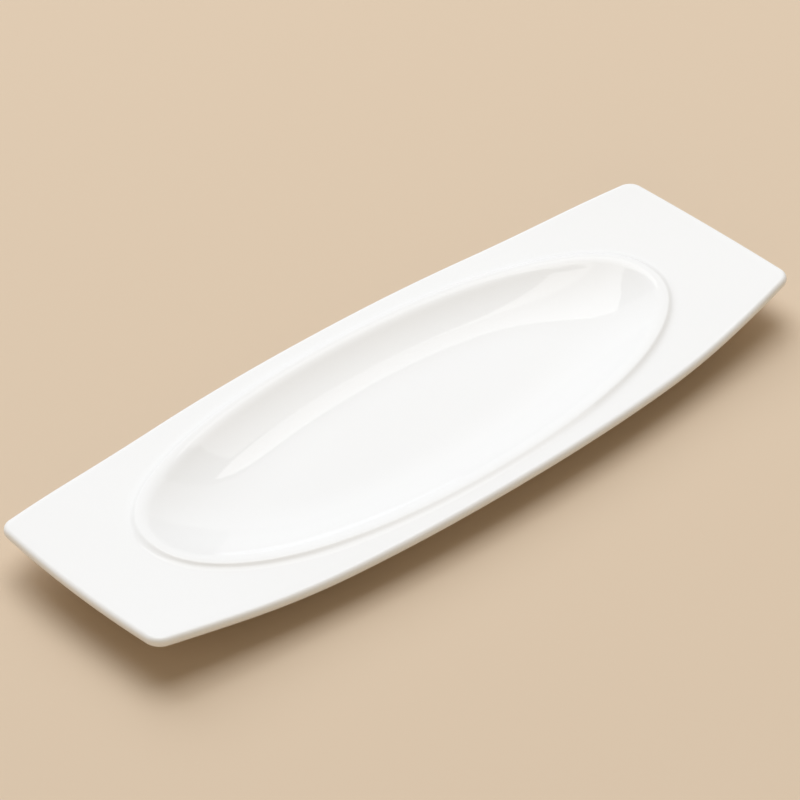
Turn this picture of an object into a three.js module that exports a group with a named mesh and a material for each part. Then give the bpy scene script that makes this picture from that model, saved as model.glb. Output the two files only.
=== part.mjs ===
// Rectangular serving plate in glazed porcelain, with bowed long sides, ends and corners that curl up,
// and a shallow oval well ringed by a raised bead.
// Millimetres, +Z up, +X along the plate, origin on the table under the middle of the well.
import * as THREE from "three";
import { mergeVertices } from "three/addons/utils/BufferGeometryUtils.js";

// Plan of the plate
const PLATE_LENGTH = 356;
const MIDDLE_WIDTH = 130;
const END_WIDTH = 95.3;
const SIDE_BOW_POWER = 2.18;
const END_BOW = 1.6;
const CORNER_RADIUS = 7.5;

// Plan of the rim's flat and of the wall of the well, on the plate's two middle lines
const RIM_FLAT_AT_SIDES = 0.8;
const RIM_FLAT_AT_ENDS = 30.3;
const OVAL_POWER = 2.18;
const WALL_RUN_AT_SIDES = 37.5;
const WALL_RUN_AT_ENDS = 64;
const WALL_POWER = 2.5;

// Section of the bead: an easy roll on the side of the well, a quick one and a long fillet on the side of
// the rim. The power sets how short the low stretch in the middle of each long side is.
const BEAD_HEIGHT_AT_SIDES = 0.8;
const BEAD_HEIGHT_AT_ENDS = 1.4;
const BEAD_HEIGHT_POWER = 4;
const ROLL_INSIDE = 5.5;
const ROLL_OUTSIDE = 1.5;
const BEAD_FILLET = 7;
const FILLET_POWER = 4.4;

// Heights
const FLOOR_THICKNESS = 5.9;
const WELL_DEPTH = 6.2;
const RIM_THICKNESS = 4.6;
const CURL_RISE = 5.5;
const CORNER_RISE = 1;
const CURL_LENGTH = 92;
const CURL_BEND = 50;

// Underside and foot ring. The foot's outer face lies inside the bead. From the table up the foot has
// a rounding, a bare flank, a glazed flank and a fillet.
const SHOULDER_WIDTH = 1.5;
const FOOT_INSET_AT_SIDES = 20.4;
const FOOT_INSET_AT_ENDS = 30;
const STANDING_WIDTH = 2;
const FOOT_ROUNDING = 0.8;
const BARE_FLANK = 0.4;
const GLAZED_FLANK = 1;
const FOOT_FILLET = 1.2;

const GLAZE_THICKNESS = 0.3;

// How finely the surface is cut up
const END_STEPS = 3;
const CORNER_STEPS = 4;
const SIDE_STEPS = 7;
const FLOOR_STEPS = 2;
const WALL_STEPS = 6;
const ROLL_STEPS = 2;
const FLANK_STEPS = 2;
const BEAD_FILLET_STEPS = 4;
const RIM_STEPS = 3;
const EDGE_STEPS = 6;
const UNDERSIDE_STEPS = 5;
const FILLET_STEPS = 2;

// Sizes that follow from the ones above
const HALF_LENGTH = PLATE_LENGTH / 2;
const HALF_MIDDLE = MIDDLE_WIDTH / 2;
const HALF_END = END_WIDTH / 2;
const SIDE_BOW = HALF_MIDDLE - HALF_END;
const EDGE_RADIUS = RIM_THICKNESS / 2;
const FLANK_WIDTH = ROLL_OUTSIDE + BEAD_FILLET;
const CREST_AT_ENDS = HALF_LENGTH - EDGE_RADIUS - RIM_FLAT_AT_ENDS - FLANK_WIDTH;
const CREST_AT_SIDES = HALF_MIDDLE - EDGE_RADIUS - RIM_FLAT_AT_SIDES - FLANK_WIDTH;
const FOOT_WIDTH = STANDING_WIDTH + 2 * (FOOT_ROUNDING + GLAZE_THICKNESS);
const GLAZE_LINE = FOOT_ROUNDING + BARE_FLANK;
const FOOT_HEIGHT = GLAZE_LINE + GLAZED_FLANK + FOOT_FILLET;
const FLOOR_TOP = FOOT_HEIGHT + FLOOR_THICKNESS;
const RIM_TOP = FLOOR_TOP + WELL_DEPTH;

// Evenly spaced values from 1 / count up to 1
const steps = (count) => Array.from({ length: count }, (_, index) => (index + 1) / count);

// The long side and the end, each as a point and an outward normal at a distance from mid length
// or mid width
function onSide(x) {
  const share = x / HALF_LENGTH;
  const slope = ((-SIDE_BOW * SIDE_BOW_POWER) / HALF_LENGTH) * share ** (SIDE_BOW_POWER - 1);
  const point = new THREE.Vector2(x, HALF_MIDDLE - SIDE_BOW * share ** SIDE_BOW_POWER);
  return { point, normal: new THREE.Vector2(-slope, 1).normalize() };
}

function onEnd(y) {
  const share = y / HALF_END;
  const slope = (-2 * END_BOW * share) / HALF_END;
  const point = new THREE.Vector2(HALF_LENGTH - END_BOW * share ** 2, y);
  return { point, normal: new THREE.Vector2(1, -slope).normalize() };
}

const inset = ({ point, normal }, distance) => point.clone().addScaledVector(normal, -distance);

// The corner's arc, whose centre lies one radius inside both the side and the end
function fitCorner() {
  let low = 0;
  let high = HALF_LENGTH;
  let corner;
  for (let halving = 0; halving < 40; halving++) {
    const x = (low + high) / 2;
    const centre = inset(onSide(x), CORNER_RADIUS);
    let y = centre.y;
    for (let pass = 0; pass < 8; pass++) y = centre.y + CORNER_RADIUS * onEnd(y).normal.y;
    corner = { x, y, centre };
    if (centre.x < inset(onEnd(y), CORNER_RADIUS).x) low = x;
    else high = x;
  }
  return corner;
}

// A quarter of the outline, from the middle of an end to the middle of a long side
function quarterOutline() {
  const corner = fitCorner();
  const from = onEnd(corner.y).normal.angle();
  const to = onSide(corner.x).normal.angle();
  const end = [0, ...steps(END_STEPS)].map((share) => onEnd(corner.y * share));
  const arc = steps(CORNER_STEPS).map((share) => {
    const angle = from + (to - from) * share;
    const normal = new THREE.Vector2(Math.cos(angle), Math.sin(angle));
    return { point: corner.centre.clone().addScaledVector(normal, CORNER_RADIUS), normal };
  });
  const side = steps(SIDE_STEPS).map((share) => onSide(corner.x * (1 - share)));
  return [...end, ...arc, ...side];
}

const mirrored = ({ point, normal }, signs) => ({
  point: point.clone().multiply(signs),
  normal: normal.clone().multiply(signs),
});

// Every station round the plate, anticlockwise from the +X end, with its turn round the oval
function makeStations() {
  const quarter = quarterOutline();
  const back = quarter.slice(1, -1).reverse();
  const left = new THREE.Vector2(-1, 1);
  const both = new THREE.Vector2(-1, -1);
  const below = new THREE.Vector2(1, -1);
  const outline = [
    ...quarter,
    ...back.map((station) => mirrored(station, left)),
    mirrored(quarter[0], left),
    ...quarter.slice(1).map((station) => mirrored(station, both)),
    ...back.map((station) => mirrored(station, below)),
  ];
  return outline.map((station, index) => ({ ...station, turn: (2 * Math.PI * index) / outline.length }));
}

const stations = makeStations();

// Rings in plan, one point for each station
const power = (value) => Math.sign(value) * Math.abs(value) ** (2 / OVAL_POWER);
const oval = (offsetAtEnds, offsetAtSides) =>
  stations.map(({ turn }) => {
    const x = (CREST_AT_ENDS + offsetAtEnds) * power(Math.cos(turn));
    return new THREE.Vector2(x, (CREST_AT_SIDES + offsetAtSides) * power(Math.sin(turn)));
  });
const outline = (distance) => stations.map((station) => inset(station, distance));
const between = (first, last, share) => first.map((point, index) => point.clone().lerp(last[index], share));

// A ring in space: a plan ring with a height for each of its points
const raise = (ring, height) =>
  ring.map((point, index) => new THREE.Vector3(point.x, point.y, height(point, index)));
const level = (ring, height) => raise(ring, () => height);

// How far the rim has curled up over a plan point. It bends up gently, then runs straight to the end,
// and rises most at the corners.
function curl({ x, y }) {
  const past = Math.max(0, Math.abs(x) - (HALF_LENGTH - CURL_LENGTH));
  const bent = Math.min(past, CURL_BEND);
  const run = past - bent + bent ** 2 / (2 * CURL_BEND);
  const fullRun = CURL_LENGTH - CURL_BEND / 2;
  return ((CURL_RISE + CORNER_RISE * (y / HALF_END) ** 2) * run) / fullRun;
}

// How far the bead stands over the rim at each station: it is lower along the long sides
const beadHeight = stations.map(({ turn }) => {
  const nearSide = Math.abs(Math.sin(turn)) ** BEAD_HEIGHT_POWER;
  return BEAD_HEIGHT_AT_ENDS + (BEAD_HEIGHT_AT_SIDES - BEAD_HEIGHT_AT_ENDS) * nearSide;
});

const centre = oval(-CREST_AT_ENDS, -CREST_AT_SIDES);
const floorEdge = oval(-WALL_RUN_AT_ENDS, -WALL_RUN_AT_SIDES);
const rollStart = oval(-ROLL_INSIDE, -ROLL_INSIDE);
const crest = oval(0, 0);
const filletEnd = oval(FLANK_WIDTH, FLANK_WIDTH);
const shoulder = oval(SHOULDER_WIDTH, SHOULDER_WIDTH);

// Floor, wall and the inside of the bead. The wall's slope grows from the floor to the roll, and dies out
// at the crest. The wall takes the part of the climb that makes its slope meet the roll's.
function wellRings() {
  const climb = crest.map((point, index) => RIM_TOP + beadHeight[index] + curl(point) - FLOOR_TOP);
  const wallShare = crest.map((point, index) => {
    const roll = point.distanceTo(rollStart[index]);
    const wall = point.distanceTo(floorEdge[index]) - roll;
    return (2 * wall) / (WALL_POWER * roll + 2 * wall);
  });
  const floor = steps(FLOOR_STEPS).map((share) => level(between(centre, floorEdge, share), FLOOR_TOP));
  const wall = steps(WALL_STEPS).map((share) =>
    raise(between(floorEdge, rollStart, share), (_, index) => {
      return FLOOR_TOP + climb[index] * wallShare[index] * share ** WALL_POWER;
    }),
  );
  const roll = steps(ROLL_STEPS).map((share) =>
    raise(between(rollStart, crest, share), (_, index) => {
      return FLOOR_TOP + climb[index] * (1 - (1 - wallShare[index]) * (1 - share) ** 2);
    }),
  );
  return [...floor, ...wall, ...roll];
}

// Outer flank of the bead and the fillet that eases it onto the rim, with one slope where they meet
function flankRings() {
  const rollShare = (FILLET_POWER * ROLL_OUTSIDE) / (FILLET_POWER * ROLL_OUTSIDE + 2 * BEAD_FILLET);
  const roll = steps(FLANK_STEPS).map((share) => {
    const offset = ROLL_OUTSIDE * share;
    const above = 1 - rollShare * share ** 2;
    return raise(oval(offset, offset), (point, index) => RIM_TOP + curl(point) + beadHeight[index] * above);
  });
  const fillet = steps(BEAD_FILLET_STEPS).map((share) => {
    const offset = ROLL_OUTSIDE + BEAD_FILLET * share;
    const above = (1 - rollShare) * (1 - share) ** FILLET_POWER;
    return raise(oval(offset, offset), (point, index) => RIM_TOP + curl(point) + beadHeight[index] * above);
  });
  return [...roll, ...fillet];
}

// Rim, bullnose edge and the flat underside of the rim
function rimRings() {
  const edgeInset = outline(EDGE_RADIUS);
  const top = steps(RIM_STEPS).map((share) => {
    return raise(between(filletEnd, edgeInset, share), (point) => RIM_TOP + curl(point));
  });
  const edge = steps(EDGE_STEPS).map((share) => {
    const angle = Math.PI * (0.5 - share);
    const ring = outline(EDGE_RADIUS * (1 - Math.cos(angle)));
    return raise(ring, (point) => RIM_TOP + curl(point) - EDGE_RADIUS * (1 - Math.sin(angle)));
  });
  const bottom = steps(RIM_STEPS).map((share) => {
    return raise(between(edgeInset, shoulder, share), (point) => RIM_TOP + curl(point) - RIM_THICKNESS);
  });
  return [...top, ...edge, ...bottom];
}

// A plan ring of the foot, measured outwards from its outer face
const footRing = (offset) => oval(offset - FOOT_INSET_AT_ENDS, offset - FOOT_INSET_AT_SIDES);

// Quarter-round fillet between the foot and the face above it, from that face down to the foot
const footFillet = (outwards) =>
  [0, ...steps(FILLET_STEPS)].map((share) => {
    const angle = (Math.PI / 2) * share;
    const offset = FOOT_FILLET * (1 - Math.sin(angle));
    const face = outwards > 0 ? 0 : -FOOT_WIDTH;
    return level(footRing(face + outwards * offset), FOOT_HEIGHT - FOOT_FILLET * (1 - Math.cos(angle)));
  });

// Underside of the wall, an easy S from the rim to the foot, and the glazed part of the foot's outer face
function undersideRings() {
  const root = footRing(FOOT_FILLET);
  const slope = steps(UNDERSIDE_STEPS).slice(0, -1).map((share) => {
    const drop = share < 0.5 ? 2 * share ** 2 : 1 - 2 * (1 - share) ** 2;
    return raise(between(shoulder, root, share), (_, index) => {
      const top = RIM_TOP + curl(shoulder[index]) - RIM_THICKNESS;
      return top + (FOOT_HEIGHT - top) * drop;
    });
  });
  return [...slope, ...footFillet(1), level(footRing(0), GLAZE_LINE)];
}

// Glazed base inside the foot, from the bare foot's inner edge up its flank and over the recessed face
function baseRings() {
  const recessEdge = footRing(-FOOT_WIDTH - FOOT_FILLET);
  const recess = steps(FLOOR_STEPS).slice(0, -1).map((share) => {
    return level(between(recessEdge, centre, share), FOOT_HEIGHT);
  });
  return [level(footRing(-FOOT_WIDTH), GLAZE_LINE), ...footFillet(-1).reverse(), ...recess];
}

// Bare standing face of the foot, rounded at both edges, between the two glazed stretches of the body
function standingRings() {
  const outer = -GLAZE_THICKNESS;
  const inner = GLAZE_THICKNESS - FOOT_WIDTH;
  const corner = 1 - Math.SQRT1_2;
  const roundings = [
    [outer, FOOT_ROUNDING],
    [outer - corner * FOOT_ROUNDING, corner * FOOT_ROUNDING],
    [outer - FOOT_ROUNDING, 0],
    [inner + FOOT_ROUNDING, 0],
    [inner + corner * FOOT_ROUNDING, corner * FOOT_ROUNDING],
    [inner, FOOT_ROUNDING],
  ];
  return roundings.map(([offset, height]) => level(footRing(offset), height));
}

// Moves each point of a stack of rings inwards along the surface's normal
function shrink(rings, firstPole, lastPole) {
  const count = stations.length;
  return rings.map((ring, row) =>
    ring.map((point, column) => {
      const before = row > 0 ? rings[row - 1][column] : firstPole;
      const after = row < rings.length - 1 ? rings[row + 1][column] : lastPole;
      const along = new THREE.Vector3();
      if (before) along.add(point.clone().sub(before).normalize());
      if (after) along.add(after.clone().sub(point).normalize());
      const round = ring[(column + 1) % count].clone().sub(ring[(column + count - 1) % count]);
      return point.clone().addScaledVector(along.cross(round).normalize(), -GLAZE_THICKNESS);
    }),
  );
}

// Collects triangles. Rings run from the top centre over the edge to the bottom centre,
// so that faces point outwards.
class Skin {
  constructor() {
    this.points = [];
  }

  triangle(first, second, third, flip) {
    const corners = flip ? [first, third, second] : [first, second, third];
    for (const corner of corners) this.points.push(corner.x, corner.y, corner.z);
  }

  band(rings, flip = false) {
    const count = stations.length;
    for (let row = 1; row < rings.length; row++) {
      const inner = rings[row - 1];
      const outer = rings[row];
      for (let column = 0; column < count; column++) {
        const next = (column + 1) % count;
        this.triangle(inner[column], outer[column], outer[next], flip);
        this.triangle(inner[column], outer[next], inner[next], flip);
      }
    }
    return this;
  }

  cap(ring, centre, flip = false) {
    ring.forEach((point, column) => this.triangle(centre, point, ring[(column + 1) % ring.length], flip));
    return this;
  }

  mesh(name, material) {
    const positions = new THREE.Float32BufferAttribute(this.points, 3);
    const geometry = mergeVertices(new THREE.BufferGeometry().setAttribute("position", positions));
    geometry.computeVertexNormals();
    const mesh = new THREE.Mesh(geometry, material);
    mesh.name = name;
    return mesh;
  }
}

const glaze = new THREE.MeshStandardMaterial({ color: "#f5f5f3", roughness: 0.12, metalness: 0 });
const biscuit = new THREE.MeshStandardMaterial({ color: "#ece6da", roughness: 0.85, metalness: 0 });

const coatOuter = [...wellRings(), ...flankRings(), ...rimRings(), ...undersideRings()];
const floorCentre = new THREE.Vector3(0, 0, FLOOR_TOP);
const floorBiscuit = new THREE.Vector3(0, 0, FLOOR_TOP - GLAZE_THICKNESS);
const coatInner = shrink(coatOuter, floorCentre, null);

const baseOuter = baseRings();
const baseCentre = new THREE.Vector3(0, 0, FOOT_HEIGHT);
const baseBiscuit = new THREE.Vector3(0, 0, FOOT_HEIGHT + GLAZE_THICKNESS);
const baseInner = shrink(baseOuter, null, baseCentre);

// Fired body: everything under the glaze, and the bare standing ring
const bodyRings = [...coatInner, ...standingRings(), ...baseInner];
const body = new Skin()
  .cap(coatInner[0], floorBiscuit)
  .band(bodyRings)
  .cap(baseInner.at(-1), baseBiscuit, true)
  .mesh("porcelain_body", biscuit);

// Glaze over the well, the bead, the rim, the edge and the underside, down to the wiped foot
const coat = new Skin()
  .cap(coatOuter[0], floorCentre)
  .band(coatOuter)
  .band([coatOuter.at(-1), coatInner.at(-1)])
  .band(coatInner, true)
  .cap(coatInner[0], floorBiscuit, true)
  .mesh("glaze_coat", glaze);

// Glaze on the base inside the foot, cut off from the rest by the wiped standing ring
const base = new Skin()
  .band([baseInner[0], baseOuter[0]])
  .band(baseOuter)
  .cap(baseOuter.at(-1), baseCentre, true)
  .band(baseInner, true)
  .cap(baseInner.at(-1), baseBiscuit)
  .mesh("base_glaze", glaze);

const plate = new THREE.Group();
plate.add(body, coat, base);
export default plate;
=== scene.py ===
# Looks of a rectangular serving plate: white gloss glaze over a porcelain body, on a plain pale floor.
# Metres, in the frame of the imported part: +X along the plate, +Z up, origin on the table under the well.
import math

import bpy
from mathutils import Matrix, Vector


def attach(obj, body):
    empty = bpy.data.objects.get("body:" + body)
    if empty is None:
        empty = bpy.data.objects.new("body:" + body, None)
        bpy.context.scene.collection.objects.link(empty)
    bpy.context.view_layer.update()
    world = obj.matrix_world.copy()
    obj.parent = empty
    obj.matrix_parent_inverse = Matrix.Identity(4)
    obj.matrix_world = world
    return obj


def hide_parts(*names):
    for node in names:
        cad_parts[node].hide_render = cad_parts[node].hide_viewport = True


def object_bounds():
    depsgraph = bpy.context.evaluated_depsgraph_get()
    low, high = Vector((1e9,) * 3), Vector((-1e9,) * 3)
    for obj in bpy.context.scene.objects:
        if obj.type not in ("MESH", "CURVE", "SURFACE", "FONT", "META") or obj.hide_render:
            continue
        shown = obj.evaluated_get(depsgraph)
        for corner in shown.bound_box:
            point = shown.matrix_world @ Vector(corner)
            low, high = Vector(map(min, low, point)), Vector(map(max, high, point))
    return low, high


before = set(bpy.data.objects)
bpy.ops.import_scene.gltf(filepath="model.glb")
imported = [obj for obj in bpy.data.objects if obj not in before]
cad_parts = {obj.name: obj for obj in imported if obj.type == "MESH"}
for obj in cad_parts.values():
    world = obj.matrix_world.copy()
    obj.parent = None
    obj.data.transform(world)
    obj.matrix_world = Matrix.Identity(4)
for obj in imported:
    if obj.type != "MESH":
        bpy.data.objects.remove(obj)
cad_low, cad_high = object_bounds()

MM = 0.001

# Plan of the plate
HALF_LENGTH = cad_high.x
HALF_MIDDLE = cad_high.y
HALF_END = 47.65 * MM
SIDE_BOW_POWER = 2.18
END_BOW = 1.6 * MM
CORNER_RADIUS = 7.5 * MM

# Plan of the rim's flat and of the wall of the well, on the plate's two middle lines
RIM_FLAT_AT_SIDES = 0.8 * MM
RIM_FLAT_AT_ENDS = 30.3 * MM
OVAL_POWER = 2.18
WALL_RUN_AT_SIDES = 37.5 * MM
WALL_RUN_AT_ENDS = 64 * MM
WALL_POWER = 2.5

# Section of the bead. A higher power shortens the low stretch at the middle of each long side
BEAD_HEIGHT_AT_SIDES = 0.8 * MM
BEAD_HEIGHT_AT_ENDS = 1.4 * MM
BEAD_HEIGHT_POWER = 4
ROLL_INSIDE = 5.5 * MM
ROLL_OUTSIDE = 1.5 * MM
BEAD_FILLET = 7 * MM
FILLET_POWER = 4.4

# Heights
FLOOR_THICKNESS = 5.9 * MM
WELL_DEPTH = 6.2 * MM
RIM_THICKNESS = 4.6 * MM
CURL_RISE = 5.5 * MM
CORNER_RISE = 1 * MM
CURL_LENGTH = 92 * MM
CURL_BEND = 50 * MM

# Underside and foot ring
SHOULDER_WIDTH = 1.5 * MM
FOOT_INSET_AT_SIDES = 20.4 * MM
FOOT_INSET_AT_ENDS = 30 * MM
STANDING_WIDTH = 2 * MM
FOOT_ROUNDING = 0.8 * MM
BARE_FLANK = 0.4 * MM
GLAZED_FLANK = 1 * MM
FOOT_FILLET = 1.2 * MM
GLAZE_THICKNESS = 0.3 * MM

# How finely the surface is cut up. The end and the corner each take a share of a quarter's stations
STATIONS = 288
QUARTERS = 4
END_SHARE = 3 / 14
CORNER_SHARE = 4 / 14
FLOOR_STEPS = 10
WALL_STEPS = 24
INNER_ROLL_STEPS = 10
OUTER_ROLL_STEPS = 6
BEAD_FILLET_STEPS = 14
RIM_STEPS = 12
EDGE_STEPS = 16
UNDERSIDE_STEPS = 12
FOOT_FILLET_STEPS = 6
GLAZED_FLANK_STEPS = 2
BARE_FLANK_STEPS = 1
FOOT_ROUNDING_STEPS = 5
STANDING_STEPS = 2
CUT_EDGE_STEPS = 1
WELD_REACH = 0.004 * MM
SHARP_ANGLE = math.radians(50)
QUARTER_TURN = math.pi / 2

# Rounds in which the corner's arc is fitted to the side and to the end
SIDE_HALVINGS = 50
END_ROUNDS = 8

# Sizes that follow from the ones above
EDGE_RADIUS = RIM_THICKNESS / 2
FLANK_WIDTH = ROLL_OUTSIDE + BEAD_FILLET
CREST_AT_ENDS = HALF_LENGTH - EDGE_RADIUS - RIM_FLAT_AT_ENDS - FLANK_WIDTH
CREST_AT_SIDES = HALF_MIDDLE - EDGE_RADIUS - RIM_FLAT_AT_SIDES - FLANK_WIDTH
FOOT_WIDTH = STANDING_WIDTH + 2 * (FOOT_ROUNDING + GLAZE_THICKNESS)
GLAZE_LINE = FOOT_ROUNDING + BARE_FLANK
FOOT_HEIGHT = GLAZE_LINE + GLAZED_FLANK + FOOT_FILLET
FLOOR_TOP = FOOT_HEIGHT + FLOOR_THICKNESS
RIM_TOP = FLOOR_TOP + WELL_DEPTH


def fit_corner():
    """The corner's arc: where it leaves the side and the end, its centre and its two angles."""
    bow = HALF_MIDDLE - HALF_END

    def side_normal(x):
        slope = bow * SIDE_BOW_POWER / HALF_LENGTH * (x / HALF_LENGTH) ** (SIDE_BOW_POWER - 1)
        return Vector((slope, 1)).normalized()

    def end_normal(y):
        return Vector((1, 2 * END_BOW * y / HALF_END**2)).normalized()

    low, high = 0.0, HALF_LENGTH
    for _ in range(SIDE_HALVINGS):
        x = (low + high) / 2
        drawn_in = bow * (x / HALF_LENGTH) ** SIDE_BOW_POWER
        centre = Vector((x, HALF_MIDDLE - drawn_in)) - side_normal(x) * CORNER_RADIUS
        y = centre.y
        for _ in range(END_ROUNDS):
            y = centre.y + CORNER_RADIUS * end_normal(y).y
        reach = HALF_LENGTH - END_BOW * (y / HALF_END) ** 2 - CORNER_RADIUS * end_normal(y).x
        if centre.x < reach:
            low = x
        else:
            high = x
    first, last = end_normal(y), side_normal(x)
    return {
        "Corner on side": x,
        "Corner on end": y,
        "Corner centre X": centre.x,
        "Corner centre Y": centre.y,
        "Corner first angle": math.atan2(first.y, first.x),
        "Corner last angle": math.atan2(last.y, last.x),
    }


SIZES = {
    "Half length": HALF_LENGTH,
    "Half middle width": HALF_MIDDLE,
    "Half end width": HALF_END,
    "Side bow power": SIDE_BOW_POWER,
    "End bow": END_BOW,
    "Corner radius": CORNER_RADIUS,
    **fit_corner(),
    "Crest at ends": CREST_AT_ENDS,
    "Crest at sides": CREST_AT_SIDES,
    "Oval power": OVAL_POWER,
    "Wall run at ends": WALL_RUN_AT_ENDS,
    "Wall run at sides": WALL_RUN_AT_SIDES,
    "Wall power": WALL_POWER,
    "Roll inside": ROLL_INSIDE,
    "Roll outside": ROLL_OUTSIDE,
    "Bead fillet": BEAD_FILLET,
    "Fillet power": FILLET_POWER,
    "Bead height at sides": BEAD_HEIGHT_AT_SIDES,
    "Bead height at ends": BEAD_HEIGHT_AT_ENDS,
    "Bead height power": BEAD_HEIGHT_POWER,
    "Floor top": FLOOR_TOP,
    "Rim top": RIM_TOP,
    "Edge radius": EDGE_RADIUS,
    "Curl rise": CURL_RISE,
    "Corner rise": CORNER_RISE,
    "Curl length": CURL_LENGTH,
    "Curl bend": CURL_BEND,
    "Shoulder width": SHOULDER_WIDTH,
    "Foot inset at sides": FOOT_INSET_AT_SIDES,
    "Foot inset at ends": FOOT_INSET_AT_ENDS,
    "Foot width": FOOT_WIDTH,
    "Foot height": FOOT_HEIGHT,
    "Foot fillet": FOOT_FILLET,
    "Foot rounding": FOOT_ROUNDING,
    "Standing width": STANDING_WIDTH,
    "Glaze line": GLAZE_LINE,
    "Glaze thickness": GLAZE_THICKNESS,
}


class Number:
    """A number that a node tree works out. Sums and products of numbers add nodes to the tree."""

    def __init__(self, tree, socket):
        self.tree = tree
        self.socket = socket

    def math(self, operation, *others, first=None):
        node = self.tree.nodes.new("ShaderNodeMath")
        node.operation = operation
        values = (self, *others) if first is None else (first, self)
        for socket, value in zip(node.inputs, values):
            if isinstance(value, Number):
                self.tree.links.new(value.socket, socket)
            else:
                socket.default_value = value
        return Number(self.tree, node.outputs[0])

    def __add__(self, other):
        return self.math("ADD", other)

    def __sub__(self, other):
        return self.math("SUBTRACT", other)

    def __mul__(self, other):
        return self.math("MULTIPLY", other)

    def __truediv__(self, other):
        return self.math("DIVIDE", other)

    def __pow__(self, other):
        return self.math("POWER", other)

    def __rsub__(self, other):
        return self.math("SUBTRACT", first=other)

    def __rtruediv__(self, other):
        return self.math("DIVIDE", first=other)

    def __abs__(self):
        return self.math("ABSOLUTE")

    def __neg__(self):
        return self * -1

    __radd__ = __add__
    __rmul__ = __mul__

    def clamped(self):
        return self.math("MAXIMUM", 0).math("MINIMUM", 1)

    def below(self, limit, then, otherwise):
        """One of two values, by whether this number is below the limit."""
        mask = self.math("LESS_THAN", limit)
        return mask * then + (1 - mask) * otherwise


def between(first, last, share):
    """A plan point, or a plan direction, part of the way from one to another."""
    return tuple(start + (stop - start) * share for start, stop in zip(first, last))


def along(point, direction, reach):
    """A plan point moved a way along a plan direction."""
    return tuple(place + step * reach for place, step in zip(point, direction))


def length_of(x, y):
    return (x**2 + y**2).math("SQRT")


def unit(x, y):
    length = length_of(x, y)
    return x / length, y / length


def distance(first, last):
    return length_of(*(stop - start for start, stop in zip(first, last)))


def eased(share):
    """From 0 to 1 along two parabolas that meet half way."""
    return share.below(0.5, 2 * share**2, 1 - 2 * (1 - share) ** 2)


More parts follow.
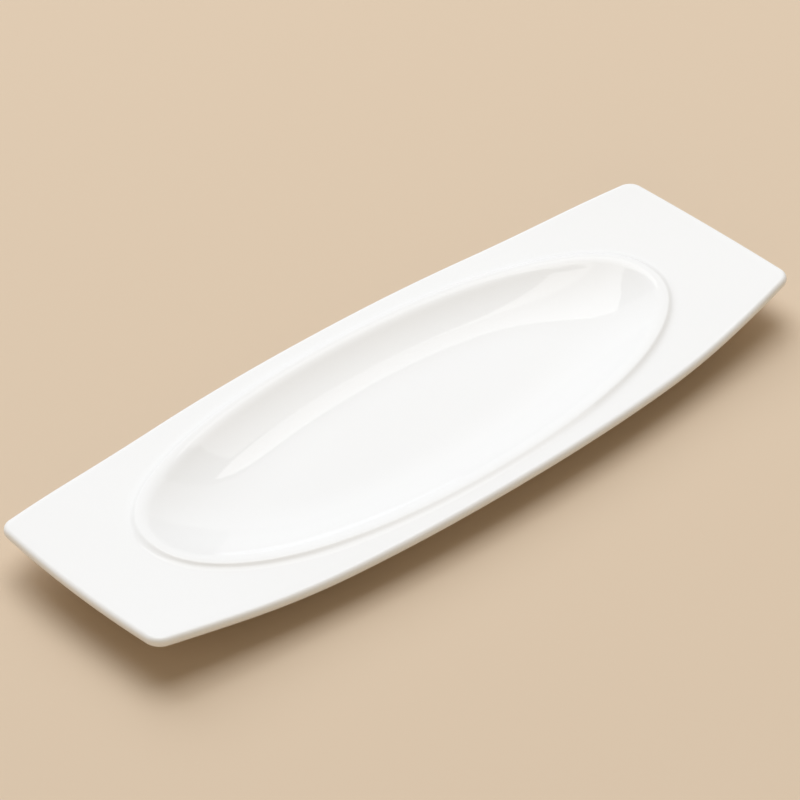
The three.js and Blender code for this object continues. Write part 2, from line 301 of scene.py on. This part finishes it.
class PlateRule:
    """The plate's surface as a node tree. Each stretch of the section is a grid, whose X is the share of
    the stretch from the top centre over the edge to the bottom centre, and whose Y is the turn round."""

    def __init__(self, name):
        self.tree = bpy.data.node_groups.new(name, "GeometryNodeTree")
        interface = self.tree.interface
        interface.new_socket("Geometry", in_out="OUTPUT", socket_type="NodeSocketGeometry")
        self.identifiers = {}
        for label in SIZES:
            socket = interface.new_socket(label, in_out="INPUT", socket_type="NodeSocketFloat")
            self.identifiers[label] = socket.identifier
        self.given = self.tree.nodes.new("NodeGroupInput")
        self.lay_out()

    def add(self, kind, inputs=(), output=0, **settings):
        node = self.tree.nodes.new(kind)
        for name, value in settings.items():
            setattr(node, name, value)
        for name, value in dict(inputs).items():
            if isinstance(value, bpy.types.NodeSocket):
                self.tree.links.new(value, node.inputs[name])
            else:
                node.inputs[name].default_value = value
        return node.outputs[output]

    def size(self, label):
        return Number(self.tree, self.given.outputs[label])

    def oval(self, at_ends, at_sides):
        """A plan point on an oval whose half axes are the crest's plus the two offsets."""
        return (
            (self.size("Crest at ends") + at_ends) * self.round_x,
            (self.size("Crest at sides") + at_sides) * self.round_y,
        )

    def foot_oval(self, offset):
        """A plan point of the foot, measured outwards from its outer face."""
        at_ends = offset - self.size("Foot inset at ends")
        at_sides = offset - self.size("Foot inset at sides")
        return self.oval(at_ends, at_sides)

    def foot_normal(self, offset):
        """The outward normal in plan of a foot oval."""
        power = self.size("Oval power") - 1
        half_x = self.size("Crest at ends") - self.size("Foot inset at ends") + offset
        half_y = self.size("Crest at sides") - self.size("Foot inset at sides") + offset
        steep_x = self.sign_x * abs(self.round_x) ** power / half_x
        steep_y = self.sign_y * abs(self.round_y) ** power / half_y
        return unit(steep_x, steep_y)

    def lay_out(self):
        """The fields that every stretch shares. A grid is one unit square about its middle, so a half
        added to its X and Y makes them run from 0 to 1."""
        position = self.add("GeometryNodeInputPosition")
        parted = self.tree.nodes.new("ShaderNodeSeparateXYZ")
        self.tree.links.new(position, parted.inputs[0])
        self.share = Number(self.tree, parted.outputs["X"]) + 0.5
        round_share = Number(self.tree, parted.outputs["Y"]) + 0.5
        turn = round_share * math.tau
        across, up = turn.math("COSINE"), turn.math("SINE")
        self.sign_x, self.sign_y = across.math("SIGN"), up.math("SIGN")
        flatness = 2 / self.size("Oval power")
        self.round_x = self.sign_x * abs(across) ** flatness
        self.round_y = self.sign_y * abs(up) ** flatness
        self.quarter = (round_share * QUARTERS).math("PINGPONG", 1)
        self.edge, self.edge_normal = self.outline()

        roll = self.size("Roll inside")
        flank = self.size("Roll outside") + self.size("Bead fillet")
        shoulder = self.size("Shoulder width")
        self.centre = self.oval(-self.size("Crest at ends"), -self.size("Crest at sides"))
        self.floor_edge = self.oval(-self.size("Wall run at ends"), -self.size("Wall run at sides"))
        self.roll_start = self.oval(-roll, -roll)
        self.crest = self.oval(0, 0)
        self.flank_end = self.oval(flank, flank)
        self.shoulder = self.oval(shoulder, shoulder)
        self.edge_inset = along(self.edge, self.edge_normal, -self.size("Edge radius"))
        self.rim_thickness = self.size("Edge radius") * 2
        low, high = self.size("Bead height at sides"), self.size("Bead height at ends")
        self.bead = high + (low - high) * abs(up) ** self.size("Bead height power")
        self.climb = self.rim_height(self.crest) + self.bead - self.size("Floor top")
        roll_run = distance(self.crest, self.roll_start)
        wall_run = distance(self.crest, self.floor_edge) - roll_run
        self.wall_share = wall_run * 2 / (self.size("Wall power") * roll_run + wall_run * 2)

    def outline(self):
        """The plate's outline and its outward normal: the end, the corner's arc and the long side."""
        half_length, half_end = self.size("Half length"), self.size("Half end width")
        bow = self.size("Half middle width") - half_end
        power = self.size("Side bow power")
        end_y = self.size("Corner on end") * (self.quarter / END_SHARE).clamped()
        end = (half_length - self.size("End bow") * (end_y / half_end) ** 2, end_y)
        end_slope = self.size("End bow") * end_y * 2 / half_end**2

        arc_share = ((self.quarter - END_SHARE) / CORNER_SHARE).clamped()
        first, last = self.size("Corner first angle"), self.size("Corner last angle")
        angle = first + (last - first) * arc_share
        arc_normal = (angle.math("COSINE"), angle.math("SINE"))
        arc_centre = (self.size("Corner centre X"), self.size("Corner centre Y"))
        arc = along(arc_centre, arc_normal, self.size("Corner radius"))

        side_start = END_SHARE + CORNER_SHARE
        side_part = ((self.quarter - side_start) / (1 - side_start)).clamped()
        side_x = self.size("Corner on side") * (1 - side_part)
        side_share = side_x / half_length
        side = (side_x, self.size("Half middle width") - bow * side_share**power)
        side_slope = bow * power / half_length * side_share ** (power - 1)

        def pick(on_end, on_arc, on_side):
            """One of the three, by the place along the quarter, in the quarter that it belongs to."""
            picked = []
            signs = (self.sign_x, self.sign_y)
            for sign, at_end, at_arc, at_side in zip(signs, on_end, on_arc, on_side):
                past_end = self.quarter.below(side_start, at_arc, at_side)
                picked.append(sign * self.quarter.below(END_SHARE, at_end, past_end))
            return tuple(picked)

        normal = pick(unit(1, end_slope), arc_normal, unit(side_slope, 1))
        return pick(end, arc, side), normal

    def curl(self, point):
        """How far the rim has curled up over a plan point. It bends up gently, then runs straight to the
        end, and rises most at the corners."""
        length, bend = self.size("Curl length"), self.size("Curl bend")
        past = (abs(point[0]) - (self.size("Half length") - length)).math("MAXIMUM", 0)
        bent = past.math("MINIMUM", bend)
        run = past - bent + bent**2 / (bend * 2)
        to_corner = (point[1] / self.size("Half end width")) ** 2
        rise = self.size("Curl rise") + self.size("Corner rise") * to_corner
        return rise * run / (length - bend / 2)

    def rim_height(self, point):
        return self.size("Rim top") + self.curl(point)

    def stretch(self, steps, place):
        """A band of the surface: place gives a point for the stretch's share and turn."""
        grid = self.add(
            "GeometryNodeMeshGrid",
            {"Size X": 1, "Size Y": 1, "Vertices X": steps + 1, "Vertices Y": STATIONS + 1},
        )
        x, y, z = place(self.share)
        target = self.add("ShaderNodeCombineXYZ", {"X": x.socket, "Y": y.socket, "Z": z.socket})
        return self.add("GeometryNodeSetPosition", {"Geometry": grid, "Position": target})

    def weld(self, stretches):
        join = self.tree.nodes.new("GeometryNodeJoinGeometry")
        for geometry in stretches:
            self.tree.links.new(geometry, join.inputs[0])
        joined = {"Geometry": join.outputs[0], "Distance": WELD_REACH}
        return self.add("GeometryNodeMergeByDistance", joined)

    def sunk(self, skin):
        """The skin moved inwards by the thickness of the glaze."""
        normal = self.add("GeometryNodeInputNormal")
        inwards = self.add(
            "ShaderNodeVectorMath",
            {0: normal, 3: (-self.size("Glaze thickness")).socket},
            operation="SCALE",
        )
        return self.add("GeometryNodeSetPosition", {"Geometry": skin, "Offset": inwards})

    def well_stretches(self):
        floor_top = self.size("Floor top")

        def floor(share):
            return *between(self.centre, self.floor_edge, share), floor_top

        def wall(share):
            height = self.climb * self.wall_share * share ** self.size("Wall power")
            return *between(self.floor_edge, self.roll_start, share), floor_top + height

        def roll(share):
            height = self.climb * (1 - (1 - self.wall_share) * (1 - share) ** 2)
            return *between(self.roll_start, self.crest, share), floor_top + height

        return [
            self.stretch(FLOOR_STEPS, floor),
            self.stretch(WALL_STEPS, wall),
            self.stretch(INNER_ROLL_STEPS, roll),
        ]

    def flank_stretches(self):
        roll, fillet = self.size("Roll outside"), self.size("Bead fillet")
        power = self.size("Fillet power")
        drop = self.bead * power * roll / (power * roll + fillet * 2)

        def outer_roll(share):
            point = self.oval(roll * share, roll * share)
            return *point, self.rim_height(point) + self.bead - drop * share**2

        def foot_of_bead(share):
            offset = roll + fillet * share
            point = self.oval(offset, offset)
            return *point, self.rim_height(point) + (self.bead - drop) * (1 - share) ** power

        return [
            self.stretch(OUTER_ROLL_STEPS, outer_roll),
            self.stretch(BEAD_FILLET_STEPS, foot_of_bead),
        ]

    def rim_stretches(self):
        radius = self.size("Edge radius")

        def top(share):
            point = between(self.flank_end, self.edge_inset, share)
            return *point, self.rim_height(point)

        def bullnose(share):
            angle = (0.5 - share) * math.pi
            point = along(self.edge, self.edge_normal, radius * (angle.math("COSINE") - 1))
            return *point, self.rim_height(point) - radius * (1 - angle.math("SINE"))

        def bottom(share):
            point = between(self.edge_inset, self.shoulder, share)
            return *point, self.rim_height(point) - self.rim_thickness

        return [
            self.stretch(RIM_STEPS, top),
            self.stretch(EDGE_STEPS, bullnose),
            self.stretch(RIM_STEPS, bottom),
        ]

    def foot_fillet(self, share, face, outwards):
        """A quarter-round from the face above the foot down to the foot."""
        angle = share * QUARTER_TURN
        radius = self.size("Foot fillet")
        point = self.foot_oval(face + outwards * radius * (1 - angle.math("SINE")))
        return *point, self.size("Foot height") - radius * (1 - angle.math("COSINE"))

    def underside_stretches(self):
        foot_height = self.size("Foot height")
        root = self.foot_oval(self.size("Foot fillet"))
        start = self.rim_height(self.shoulder) - self.rim_thickness
        flank_top = foot_height - self.size("Foot fillet")

        def slope(share):
            return *between(self.shoulder, root, share), start + (foot_height - start) * eased(share)

        def fillet(share):
            return self.foot_fillet(share, 0, 1)

        def flank(share):
            return *self.foot_oval(0), flank_top + (self.size("Glaze line") - flank_top) * share

        return [
            self.stretch(UNDERSIDE_STEPS, slope),
            self.stretch(FOOT_FILLET_STEPS, fillet),
            self.stretch(GLAZED_FLANK_STEPS, flank),
        ]

    def coat_skin(self):
        return self.weld([
            *self.well_stretches(),
            *self.flank_stretches(),
            *self.rim_stretches(),
            *self.underside_stretches(),
        ])

    def base_skin(self):
        """The glazed base inside the foot, from the foot's inner flank to the middle."""
        face = -self.size("Foot width")
        line = self.size("Glaze line")
        flank_top = self.size("Foot height") - self.size("Foot fillet")
        edge = self.foot_oval(face - self.size("Foot fillet"))

        def flank(share):
            return *self.foot_oval(face), line + (flank_top - line) * share

        def fillet(share):
            return self.foot_fillet(1 - share, face, -1)

        def recess(share):
            return *between(edge, self.centre, share), self.size("Foot height")

        return self.weld([
            self.stretch(GLAZED_FLANK_STEPS, flank),
            self.stretch(FOOT_FILLET_STEPS, fillet),
            self.stretch(FLOOR_STEPS, recess),
        ])

    def bare_edges(self):
        """Where the bare foot meets the glaze on its outer and its inner flank, in plan."""
        inner_face = -self.size("Foot width")
        thickness = self.size("Glaze thickness")
        outer = along(self.foot_oval(0), self.foot_normal(0), -thickness)
        inner = along(self.foot_oval(inner_face), self.foot_normal(inner_face), thickness)
        return outer, inner

    def glaze_edge(self, first, last):
        """The cut edge of a glaze skin, level with the glaze line."""

        def edge(share):
            return *between(first, last, share), self.size("Glaze line")

        return self.stretch(CUT_EDGE_STEPS, edge)

    def standing_stretches(self):
        """The bare foot: flank, rounding, standing face, rounding, flank."""
        outer, inner = self.bare_edges()
        rounding, standing = self.size("Foot rounding"), self.size("Standing width")
        width = rounding * 2 + standing
        line = self.size("Glaze line")

        def outer_flank(share):
            return *outer, line + (rounding - line) * share

        def outer_rounding(share):
            angle = share * QUARTER_TURN
            across = rounding * (1 - angle.math("COSINE")) / width
            return *between(outer, inner, across), rounding * (1 - angle.math("SINE"))

        def face(share):
            return *between(outer, inner, (rounding + standing * share) / width), share * 0

        def inner_rounding(share):
            angle = share * QUARTER_TURN
            across = 1 - rounding * (1 - angle.math("SINE")) / width
            return *between(outer, inner, across), rounding * (1 - angle.math("COSINE"))

        def inner_flank(share):
            return *inner, rounding + (line - rounding) * share

        return [
            self.stretch(BARE_FLANK_STEPS, outer_flank),
            self.stretch(FOOT_ROUNDING_STEPS, outer_rounding),
            self.stretch(STANDING_STEPS, face),
            self.stretch(FOOT_ROUNDING_STEPS, inner_rounding),
            self.stretch(BARE_FLANK_STEPS, inner_flank),
        ]

    def shell(self, skin, edge):
        """A closed coat of glaze: the skin, its inner side and its cut edge."""
        inner = self.add("GeometryNodeFlipFaces", {"Mesh": self.sunk(skin)})
        return self.weld([skin, inner, edge])

    def glaze_coat(self):
        outer, _ = self.bare_edges()
        return self.shell(self.coat_skin(), self.glaze_edge(self.foot_oval(0), outer))

    def base_glaze(self):
        _, inner = self.bare_edges()
        inner_face = self.foot_oval(-self.size("Foot width"))
        return self.shell(self.base_skin(), self.glaze_edge(inner, inner_face))

    def fired_body(self):
        return self.weld([
            self.sunk(self.coat_skin()),
            *self.standing_stretches(),
            self.sunk(self.base_skin()),
        ])

    def finish(self, geometry, material):
        smooth = self.add("GeometryNodeSetShadeSmooth", {"Geometry": geometry})
        real = self.add("GeometryNodeRealizeInstances", {"Geometry": smooth})
        dressed = self.add("GeometryNodeSetMaterial", {"Geometry": real, "Material": material})
        result = self.tree.nodes.new("NodeGroupOutput")
        self.tree.links.new(dressed, result.inputs[0])


def add_object(name, data):
    thing = bpy.data.objects.new(name, data)
    bpy.context.scene.collection.objects.link(thing)
    return thing


def make_piece(name, node_name, material, shape):
    """One piece of the plate, grown by its node tree and kept as a plain mesh."""
    rule = PlateRule(name + "_rule")
    rule.finish(shape(rule), material)
    piece = add_object(name, bpy.data.meshes.new(name + "_seed"))
    grow = piece.modifiers.new("Rule", "NODES")
    grow.node_group = rule.tree
    for label, value in SIZES.items():
        grow[rule.identifiers[label]] = float(value)
    graph = bpy.context.evaluated_depsgraph_get()
    mesh = bpy.data.meshes.new_from_object(piece.evaluated_get(graph))
    mesh.name = name
    mesh.set_sharp_from_angle(angle=SHARP_ANGLE)
    piece.modifiers.remove(grow)
    piece.data = mesh
    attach(piece, "root")
    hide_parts(node_name)


class Finish:
    """A material whose patterns read Object coordinates."""

    def __init__(self, name):
        self.material = bpy.data.materials.new(name)
        self.material.use_nodes = True
        self.tree = self.material.node_tree
        self.shader = self.tree.nodes["Principled BSDF"]
        self.place = self.tree.nodes.new("ShaderNodeTexCoord").outputs["Object"]

    def noise(self, patch, detail):
        """Noise whose patches are about one patch wide."""
        node = self.tree.nodes.new("ShaderNodeTexNoise")
        node.inputs["Scale"].default_value = 1 / patch
        node.inputs["Detail"].default_value = detail
        self.tree.links.new(self.place, node.inputs["Vector"])
        return node.outputs["Fac"]

    def set(self, **values):
        for name, value in values.items():
            self.shader.inputs[name.replace("_", " ")].default_value = value

    def tint(self, first, last, pattern):
        mix = self.tree.nodes.new("ShaderNodeMix")
        mix.data_type = "RGBA"
        mix.inputs["A"].default_value = (*first, 1)
        mix.inputs["B"].default_value = (*last, 1)
        self.tree.links.new(pattern, mix.inputs["Factor"])
        self.tree.links.new(mix.outputs["Result"], self.shader.inputs["Base Color"])

    def roughness(self, low, high, pattern):
        spread = self.tree.nodes.new("ShaderNodeMapRange")
        spread.inputs["To Min"].default_value = low
        spread.inputs["To Max"].default_value = high
        self.tree.links.new(pattern, spread.inputs["Value"])
        self.tree.links.new(spread.outputs["Result"], self.shader.inputs["Roughness"])

    def bump(self, layers):
        """Unevenness: each layer is a pattern and the height of its waves."""
        normal = None
        for pattern, height in layers:
            node = self.tree.nodes.new("ShaderNodeBump")
            node.inputs["Strength"].default_value = 1
            node.inputs["Distance"].default_value = height
            self.tree.links.new(pattern, node.inputs["Height"])
            if normal:
                self.tree.links.new(normal, node.inputs["Normal"])
            normal = node.outputs["Normal"]
        self.tree.links.new(normal, self.shader.inputs["Normal"])


def white_glaze():
    """Clear gloss over white porcelain: even, with a faint slow waviness and fine orange peel."""
    finish = Finish("white_gloss_glaze")
    clouds = finish.noise(patch=45 * MM, detail=3)
    gloss_patches = finish.noise(patch=12 * MM, detail=4)
    slow_waves = finish.noise(patch=14 * MM, detail=1)
    orange_peel = finish.noise(patch=1.6 * MM, detail=2)
    finish.set(IOR=1.52)
    finish.tint(first=(0.895, 0.895, 0.890), last=(0.910, 0.909, 0.901), pattern=clouds)
    finish.roughness(low=0.01, high=0.025, pattern=gloss_patches)
    finish.bump([(slow_waves, 0.004 * MM), (orange_peel, 0.0012 * MM)])
    return finish.material


def bare_biscuit():
    """Unglazed porcelain: chalky, slightly cream, with fine grain and grey rubbing from use."""
    finish = Finish("bare_biscuit")
    rubbing = finish.noise(patch=6 * MM, detail=6)
    chalk = finish.noise(patch=1.2 * MM, detail=3)
    grain = finish.noise(patch=0.5 * MM, detail=4)
    finish.set(IOR=1.45)
    finish.tint(first=(0.70, 0.66, 0.59), last=(0.83, 0.79, 0.72), pattern=rubbing)
    finish.roughness(low=0.75, high=0.95, pattern=chalk)
    finish.bump([(grain, 0.05 * MM)])
    return finish.material


def make_plate():
    glaze = white_glaze()
    make_piece("glazed_surface", "glaze_coat", glaze, PlateRule.glaze_coat)
    make_piece("glazed_base", "base_glaze", glaze, PlateRule.base_glaze)
    make_piece("biscuit_body", "porcelain_body", bare_biscuit(), PlateRule.fired_body)


# Camera at the photograph's angle
CAMERA_AZIMUTH = math.radians(-42.66)
CAMERA_ELEVATION = math.radians(37.7)
CAMERA_DISTANCE = 1672.7 * MM
CAMERA_SIDESTEP = -4.4 * MM
CAMERA_LIFT = 4.3 * MM
AIM_HEIGHT = RIM_TOP - EDGE_RADIUS
LENS_MM = 183.36
SENSOR_MM = 36


def axes_from(azimuth, elevation):
    """Right, up and back of something that looks at the plate from an azimuth and an elevation."""
    back = Vector((
        math.sin(azimuth) * math.cos(elevation),
        -math.cos(azimuth) * math.cos(elevation),
        math.sin(elevation),
    ))
    right = Vector((math.cos(azimuth), math.sin(azimuth), 0))
    return right, back.cross(right), back


def place_at(thing, location, right, up, back):
    turn = Matrix((right, up, back)).transposed().to_4x4()
    thing.matrix_world = Matrix.Translation(location) @ turn


def make_camera():
    data = bpy.data.cameras.new("camera")
    data.lens = LENS_MM
    data.sensor_width = SENSOR_MM
    camera = add_object("camera", data)
    right, up, back = axes_from(CAMERA_AZIMUTH, CAMERA_ELEVATION)
    aim = Vector((0, 0, AIM_HEIGHT))
    location = aim + back * CAMERA_DISTANCE + right * CAMERA_SIDESTEP + up * CAMERA_LIFT
    place_at(camera, location, right, up, back)
    bpy.context.scene.camera = camera


# Studio
FLOOR_SIDE = 8.0
FLOOR_COLOUR = (0.675, 0.54, 0.4)
WHITE = (1, 1, 1)
LAMP_COLOUR = (0.83, 0.9, 1.0)
FILL_COLOUR = (1.0, 0.86, 0.66)
WORLD_STRENGTH = 0.31


def make_floor():
    half = FLOOR_SIDE / 2
    mesh = bpy.data.meshes.new("floor")
    corners = [(-half, -half, 0), (half, -half, 0), (half, half, 0), (-half, half, 0)]
    mesh.from_pydata(corners, [], [(0, 1, 2, 3)])
    floor = add_object("floor", mesh)
    finish = Finish("pale_floor")
    finish.set(Base_Color=(*FLOOR_COLOUR, 1), Roughness=0.9, Specular_IOR_Level=0.1)
    mesh.materials.append(finish.material)


def make_softbox(
    name, azimuth, elevation, reach, width, height, radiance, colour=WHITE, mirrored=True, roll=0
):
    """A rectangular area lamp that faces the plate. Its angles are in degrees."""
    data = bpy.data.lights.new(name, "AREA")
    data.shape = "RECTANGLE"
    data.size = width
    data.size_y = height
    data.color = colour
    data.energy = radiance * math.pi * width * height
    lamp = add_object(name, data)
    right, up, back = axes_from(math.radians(azimuth), math.radians(elevation))
    turn = Matrix.Rotation(math.radians(roll), 3, back)
    place_at(lamp, back * reach, turn @ right, turn @ up, back)
    lamp.visible_camera = False
    lamp.visible_glossy = mirrored


def make_world():
    world = bpy.data.worlds.new("studio")
    world.use_nodes = True
    background = world.node_tree.nodes["Background"]
    background.inputs["Color"].default_value = (*FILL_COLOUR, 1)
    background.inputs["Strength"].default_value = WORLD_STRENGTH
    bpy.context.scene.world = world


def make_panels():
    """The softboxes that the glaze mirrors."""
    make_softbox(
        "tall panel", azimuth=140.6, elevation=59.75, roll=-9,
        reach=4, width=1.6, height=2.18, radiance=1.4,
    )
    make_softbox(
        "back panel", azimuth=138, elevation=34.8, roll=-4.5,
        reach=2, width=1.8, height=0.68, radiance=0.33,
    )
    make_softbox(
        "low panel", azimuth=154.5, elevation=13,
        reach=2, width=1.1, height=0.84, radiance=0.2,
    )
    make_softbox(
        "side panel", azimuth=102, elevation=70,
        reach=4, width=1.65, height=2.9, radiance=0.78,
    )


def make_lamps():
    """The softboxes that light the plate and aren't mirrored in it."""
    make_softbox(
        "overhead", azimuth=160, elevation=72, mirrored=False,
        reach=8, width=6.8, height=6.8, radiance=2.24, colour=LAMP_COLOUR,
    )
    make_softbox(
        "key", azimuth=160, elevation=40, mirrored=False,
        reach=8, width=6, height=6, radiance=2.9, colour=LAMP_COLOUR,
    )
    make_softbox(
        "fill", azimuth=-42, elevation=15, mirrored=False,
        reach=8, width=7, height=4, radiance=0.85, colour=FILL_COLOUR,
    )


bpy.context.scene.view_settings.view_transform = "Standard"
make_camera()
make_plate()
make_floor()
make_world()
make_panels()
make_lamps()
